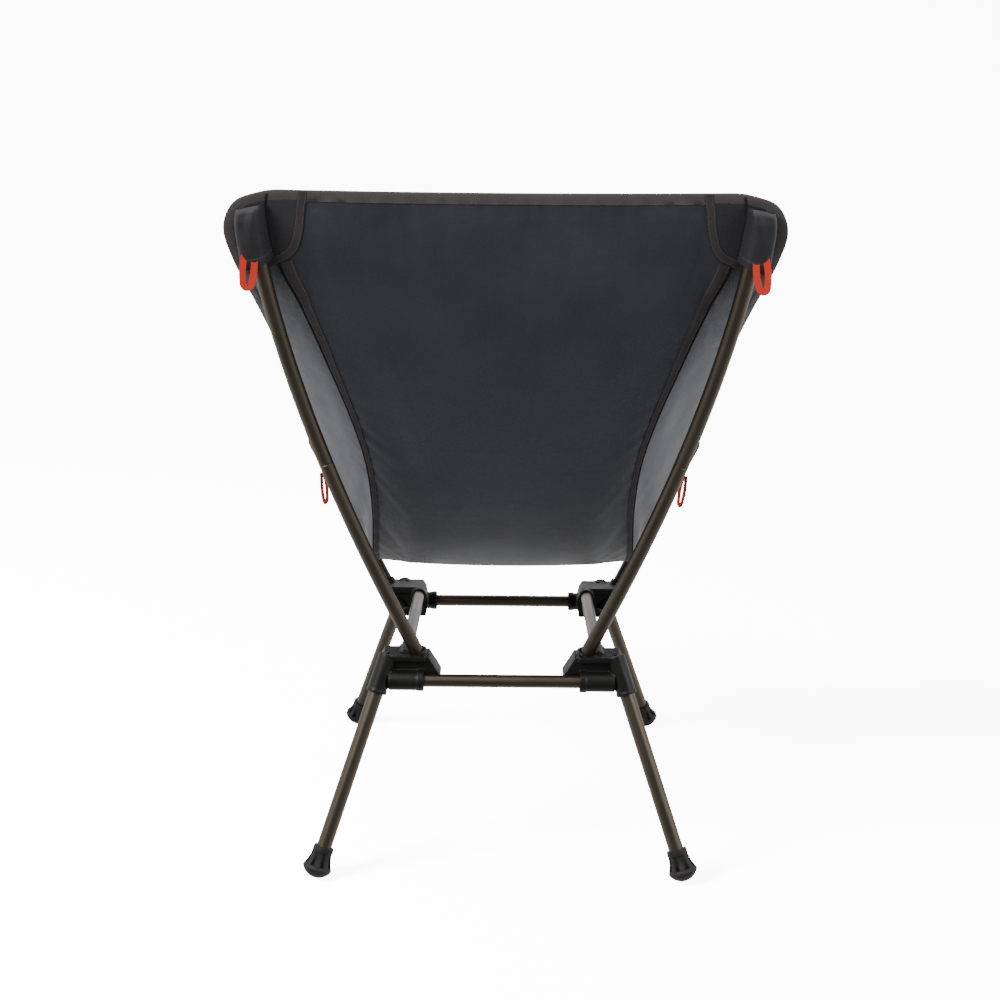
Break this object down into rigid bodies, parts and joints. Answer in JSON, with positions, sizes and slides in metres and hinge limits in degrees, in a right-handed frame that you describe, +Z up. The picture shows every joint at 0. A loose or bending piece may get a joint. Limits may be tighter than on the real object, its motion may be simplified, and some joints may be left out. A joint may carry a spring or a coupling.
{
  "type": "backpacking chair",
  "caption": "Low ultralight camping chair: moulded hubs hold splayed tubular legs and uprights, which carry a slung fabric seat by sewn corner pockets.",
  "frame": {"origin": "on the floor, under the middle of the chair's bounding box", "axes": "+Z up, the sitter faces -Y, +X is the sitter's left; the chair is symmetric about X = 0"},
  "size_m": [0.4818, 0.4982, 0.656],
  "materials": {
    "tube": "anodised olive bronze, satin",
    "side_bar": "anodised grey, satin",
    "hub": "moulded black, matte",
    "foot": "moulded black rubber",
    "ferrule": "bare",
    "cord": "braided elastic",
    "panel": "charcoal plain weave, slight sheen",
    "side_panel": "blue-grey mesh-backed weave",
    "binding": "grosgrain tape, stitched",
    "patch": "charcoal weave, doubled",
    "pull": "orange-red webbing"
  },
  "bodies": {
    "frame_and_seat": {"rear_cross_bar": "tube", "front_cross_bar": "tube", "side_bar_left": "side_bar", "side_bar_right": "side_bar", "rear_hub_left": "hub", "rear_hub_right": "hub", "front_hub_left": "hub", "front_hub_right": "hub", "main_panel": "panel", "side_panel_left": "side_panel", "side_panel_right": "side_panel", "top_binding": "binding", "front_binding": "binding", "side_binding_left": "binding", "side_binding_right": "binding"},
    "rear_leg_left_body": {"rear_leg_left": "tube", "rear_foot_left": "foot", "rear_leg_cord_left": "cord"},
    "rear_leg_right_body": {"rear_leg_right": "tube", "rear_foot_right": "foot", "rear_leg_cord_right": "cord"},
    "front_leg_left_body": {"front_leg_left": "tube", "front_foot_left": "foot", "front_leg_cord_left": "cord"},
    "front_leg_right_body": {"front_leg_right": "tube", "front_foot_right": "foot", "front_leg_cord_right": "cord"},
    "rear_upright_lower_left_body": {"rear_upright_lower_left": "tube", "rear_ferrule_left": "ferrule", "rear_upright_cord_left": "cord"},
    "rear_upright_upper_left_body": {"rear_upright_upper_left": "tube", "rear_upright_tip_left": "hub"},
    "rear_pocket_left_body": {"rear_corner_patch_left": "patch", "rear_pole_pocket_left": "patch", "rear_pull_loop_left": "pull"},
    "rear_upright_lower_right_body": {"rear_upright_lower_right": "tube", "rear_ferrule_right": "ferrule", "rear_upright_cord_right": "cord"},
    "rear_upright_upper_right_body": {"rear_upright_upper_right": "tube", "rear_upright_tip_right": "hub"},
    "rear_pocket_right_body": {"rear_corner_patch_right": "patch", "rear_pole_pocket_right": "patch", "rear_pull_loop_right": "pull"},
    "front_upright_left_body": {"front_upright_left": "tube", "front_upright_tip_left": "hub", "front_upright_cord_left": "cord"},
    "front_pocket_left_body": {"front_corner_patch_left": "patch", "front_pole_pocket_left": "patch", "front_pull_loop_left": "pull"},
    "front_upright_right_body": {"front_upright_right": "tube", "front_upright_tip_right": "hub", "front_upright_cord_right": "cord"},
    "front_pocket_right_body": {"front_corner_patch_right": "patch", "front_pole_pocket_right": "patch", "front_pull_loop_right": "pull"}
  },
  "joints": [
    {"name": "rear_leg_left_slide", "type": "slide", "parent": "frame_and_seat", "child": "rear_leg_left_body", "axis": [0.3076, 0.2834, -0.9084], "range_m": [0, 0.028], "stiffness_N_per_m": 100, "springref_m": -0.06},
    {"name": "rear_leg_right_slide", "type": "slide", "parent": "frame_and_seat", "child": "rear_leg_right_body", "axis": [-0.3076, 0.2834, -0.9084], "range_m": [0, 0.028], "stiffness_N_per_m": 100, "springref_m": -0.06},
    {"name": "front_leg_left_slide", "type": "slide", "parent": "frame_and_seat", "child": "front_leg_left_body", "axis": [0.3096, -0.3378, -0.8888], "range_m": [0, 0.028], "stiffness_N_per_m": 100, "springref_m": -0.06},
    {"name": "front_leg_right_slide", "type": "slide", "parent": "frame_and_seat", "child": "front_leg_right_body", "axis": [-0.3096, -0.3378, -0.8888], "range_m": [0, 0.028], "stiffness_N_per_m": 100, "springref_m": -0.06},
    {"name": "rear_upright_left_slide", "type": "slide", "parent": "frame_and_seat", "child": "rear_upright_lower_left_body", "axis": [0.4037, 0.2279, 0.8861], "range_m": [0, 0.026], "stiffness_N_per_m": 100, "springref_m": -0.04},
    {"name": "rear_section_left_slide", "type": "slide", "parent": "rear_upright_lower_left_body", "child": "rear_upright_upper_left_body", "axis": [0.305, 0.2421, 0.9211], "range_m": [0, 0.035], "stiffness_N_per_m": 100, "springref_m": -0.04},
    {"name": "rear_pocket_left_slide", "type": "slide", "parent": "rear_upright_upper_left_body", "child": "rear_pocket_left_body", "axis": [0.0979, 0.2625, 0.96], "range_m": [0, 0.032]},
    {"name": "rear_upright_right_slide", "type": "slide", "parent": "frame_and_seat", "child": "rear_upright_lower_right_body", "axis": [-0.4037, 0.2279, 0.8861], "range_m": [0, 0.026], "stiffness_N_per_m": 100, "springref_m": -0.04},
    {"name": "rear_section_right_slide", "type": "slide", "parent": "rear_upright_lower_right_body", "child": "rear_upright_upper_right_body", "axis": [-0.305, 0.2421, 0.9211], "range_m": [0, 0.035], "stiffness_N_per_m": 100, "springref_m": -0.04},
    {"name": "rear_pocket_right_slide", "type": "slide", "parent": "rear_upright_upper_right_body", "child": "rear_pocket_right_body", "axis": [-0.0979, 0.2625, 0.96], "range_m": [0, 0.032]},
    {"name": "front_upright_left_slide", "type": "slide", "parent": "frame_and_seat", "child": "front_upright_left_body", "axis": [0.4655, -0.5406, 0.7008], "range_m": [0, 0.026], "stiffness_N_per_m": 100, "springref_m": -0.04},
    {"name": "front_pocket_left_slide", "type": "slide", "parent": "front_upright_left_body", "child": "front_pocket_left_body", "axis": [0.4655, -0.5406, 0.7008], "range_m": [0, 0.042]},
    {"name": "front_upright_right_slide", "type": "slide", "parent": "frame_and_seat", "child": "front_upright_right_body", "axis": [-0.4655, -0.5406, 0.7008], "range_m": [0, 0.026], "stiffness_N_per_m": 100, "springref_m": -0.04},
    {"name": "front_pocket_right_slide", "type": "slide", "parent": "front_upright_right_body", "child": "front_pocket_right_body", "axis": [-0.4655, -0.5406, 0.7008], "range_m": [0, 0.042]}
  ]
}
